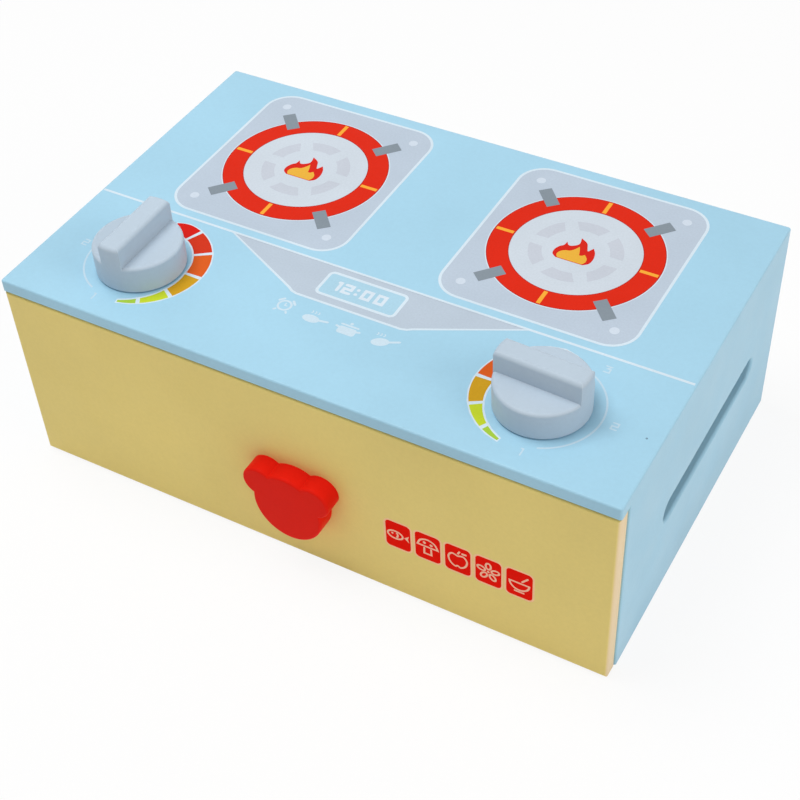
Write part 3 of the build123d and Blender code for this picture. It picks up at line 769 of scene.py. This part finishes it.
# ---- Studio: a pale floor that keeps the toy's soft shadow, even white surroundings, two
# soft lamps, and the camera.

FLOOR_REACH = 4
FLOOR_WHITE = 0.88
SKY_ON_TOY = 0.42
SKY_SEEN = 1.0


def white_ground(finish, fed_by_light, amount):
    """Mixes in plain white, of strength 1, for what looks at the floor and not for its light."""
    tree = finish.node_tree
    path = step(finish, "LightPath", {}).node
    seen = step(finish, "Math", {0: path.outputs["Is Camera Ray"],
                                 1: path.outputs["Is Glossy Ray"]}, operation="MAXIMUM")
    seen = step(finish, "Math", {0: seen, 1: path.outputs["Is Transmission Ray"]},
                operation="MAXIMUM")
    share = step(finish, "Math", {0: seen, 1: amount}, operation="MULTIPLY")
    white = step(finish, "Emission", {"Color": (1, 1, 1, 1), "Strength": 1.0})
    both = step(finish, "MixShader", {0: share, 1: fed_by_light, 2: white})
    tree.links.new(both, tree.nodes["Material Output"].inputs["Surface"])


floor_mesh = bmesh.new()
bmesh.ops.create_grid(floor_mesh, x_segments=2, y_segments=2, size=FLOOR_REACH)
floor_data = bpy.data.meshes.new("studio_floor")
floor_mesh.to_mesh(floor_data)
floor_mesh.free()
floor_finish = new_finish("studio_floor_white")
close_finish(floor_finish, {"Base Color": (0.94, 0.94, 0.94, 1), "Roughness": 0.9}, {})
lit_floor = floor_finish.node_tree.nodes["Principled BSDF"].outputs[0]
white_ground(floor_finish, lit_floor, FLOOR_WHITE)
floor_data.materials.append(floor_finish)
floor = bpy.data.objects.new("studio_floor", floor_data)
bpy.context.scene.collection.objects.link(floor)

world = bpy.data.worlds.new("studio_surroundings")
world.use_nodes = True
bpy.context.scene.world = world
sky = world.node_tree
sky_path = sky.nodes.new("ShaderNodeLightPath")
seen_direct = sky.nodes.new("ShaderNodeMath")
seen_direct.operation = "MAXIMUM"
seen_through = sky.nodes.new("ShaderNodeMath")
seen_through.operation = "MAXIMUM"
sky_strength = sky.nodes.new("ShaderNodeMapRange")
sky_strength.inputs["To Min"].default_value = SKY_ON_TOY
sky_strength.inputs["To Max"].default_value = SKY_SEEN
sky.links.new(sky_path.outputs["Is Camera Ray"], seen_direct.inputs[0])
sky.links.new(sky_path.outputs["Is Glossy Ray"], seen_direct.inputs[1])
sky.links.new(seen_direct.outputs[0], seen_through.inputs[0])
sky.links.new(sky_path.outputs["Is Transmission Ray"], seen_through.inputs[1])
sky.links.new(seen_through.outputs[0], sky_strength.inputs["Value"])
sky.links.new(sky_strength.outputs[0], sky.nodes["Background"].inputs["Strength"])
sky.nodes["Background"].inputs["Color"].default_value = (1, 1, 1, 1)


def soft_lamp(name, place, aim, size, power, tint):
    """A round soft lamp at `place` that looks at `aim`."""
    light = bpy.data.lights.new(name, "AREA")
    light.shape = "DISK"
    light.size = size
    light.energy = power
    light.color = tint
    lamp = bpy.data.objects.new(name, light)
    bpy.context.scene.collection.objects.link(lamp)
    lamp.location = place
    lamp.rotation_euler = (Vector(aim) - Vector(place)).to_track_quat("-Z", "Y").to_euler()


middle = Vector((0, 0, 0.06))
CAMERA_AZIMUTH = 31.51
CAMERA_ELEVATION = 44.37
CAMERA_ROLL = -3.27
CAMERA_DISTANCE = 0.71529
CAMERA_RIGHT = -0.00062
CAMERA_UP = -0.03131
LENS = 68.55
SENSOR = 36
soft_lamp("lamp_over_left", (-0.35, -0.1, 1.3), middle, 0.8, 9.5, (1, 1, 1))
soft_lamp("lamp_right", (1.25, -0.1, 0.7), middle, 0.8, 5.0, (1, 0.93, 0.88))

azimuth = math.radians(CAMERA_AZIMUTH)
elevation = math.radians(CAMERA_ELEVATION)
roll = math.radians(CAMERA_ROLL)
toward = Vector((math.sin(azimuth) * math.cos(elevation),
                 -math.cos(azimuth) * math.cos(elevation), math.sin(elevation)))
level = Vector((math.cos(azimuth), math.sin(azimuth), 0))
upward = toward.cross(level)
frame_right = level * math.cos(roll) + upward * math.sin(roll)
frame_up = upward * math.cos(roll) - level * math.sin(roll)
lens = bpy.data.cameras.new("camera")
lens.sensor_width = SENSOR
lens.lens = LENS
camera = bpy.data.objects.new("camera", lens)
bpy.context.scene.collection.objects.link(camera)
stand = (middle + toward * CAMERA_DISTANCE + frame_right * CAMERA_RIGHT
         + frame_up * CAMERA_UP)
camera.matrix_world = (Matrix.Translation(stand)
                       @ Matrix((frame_right, frame_up, toward)).transposed().to_4x4())
bpy.context.scene.camera = camera
bpy.context.scene.view_settings.view_transform = "Standard"
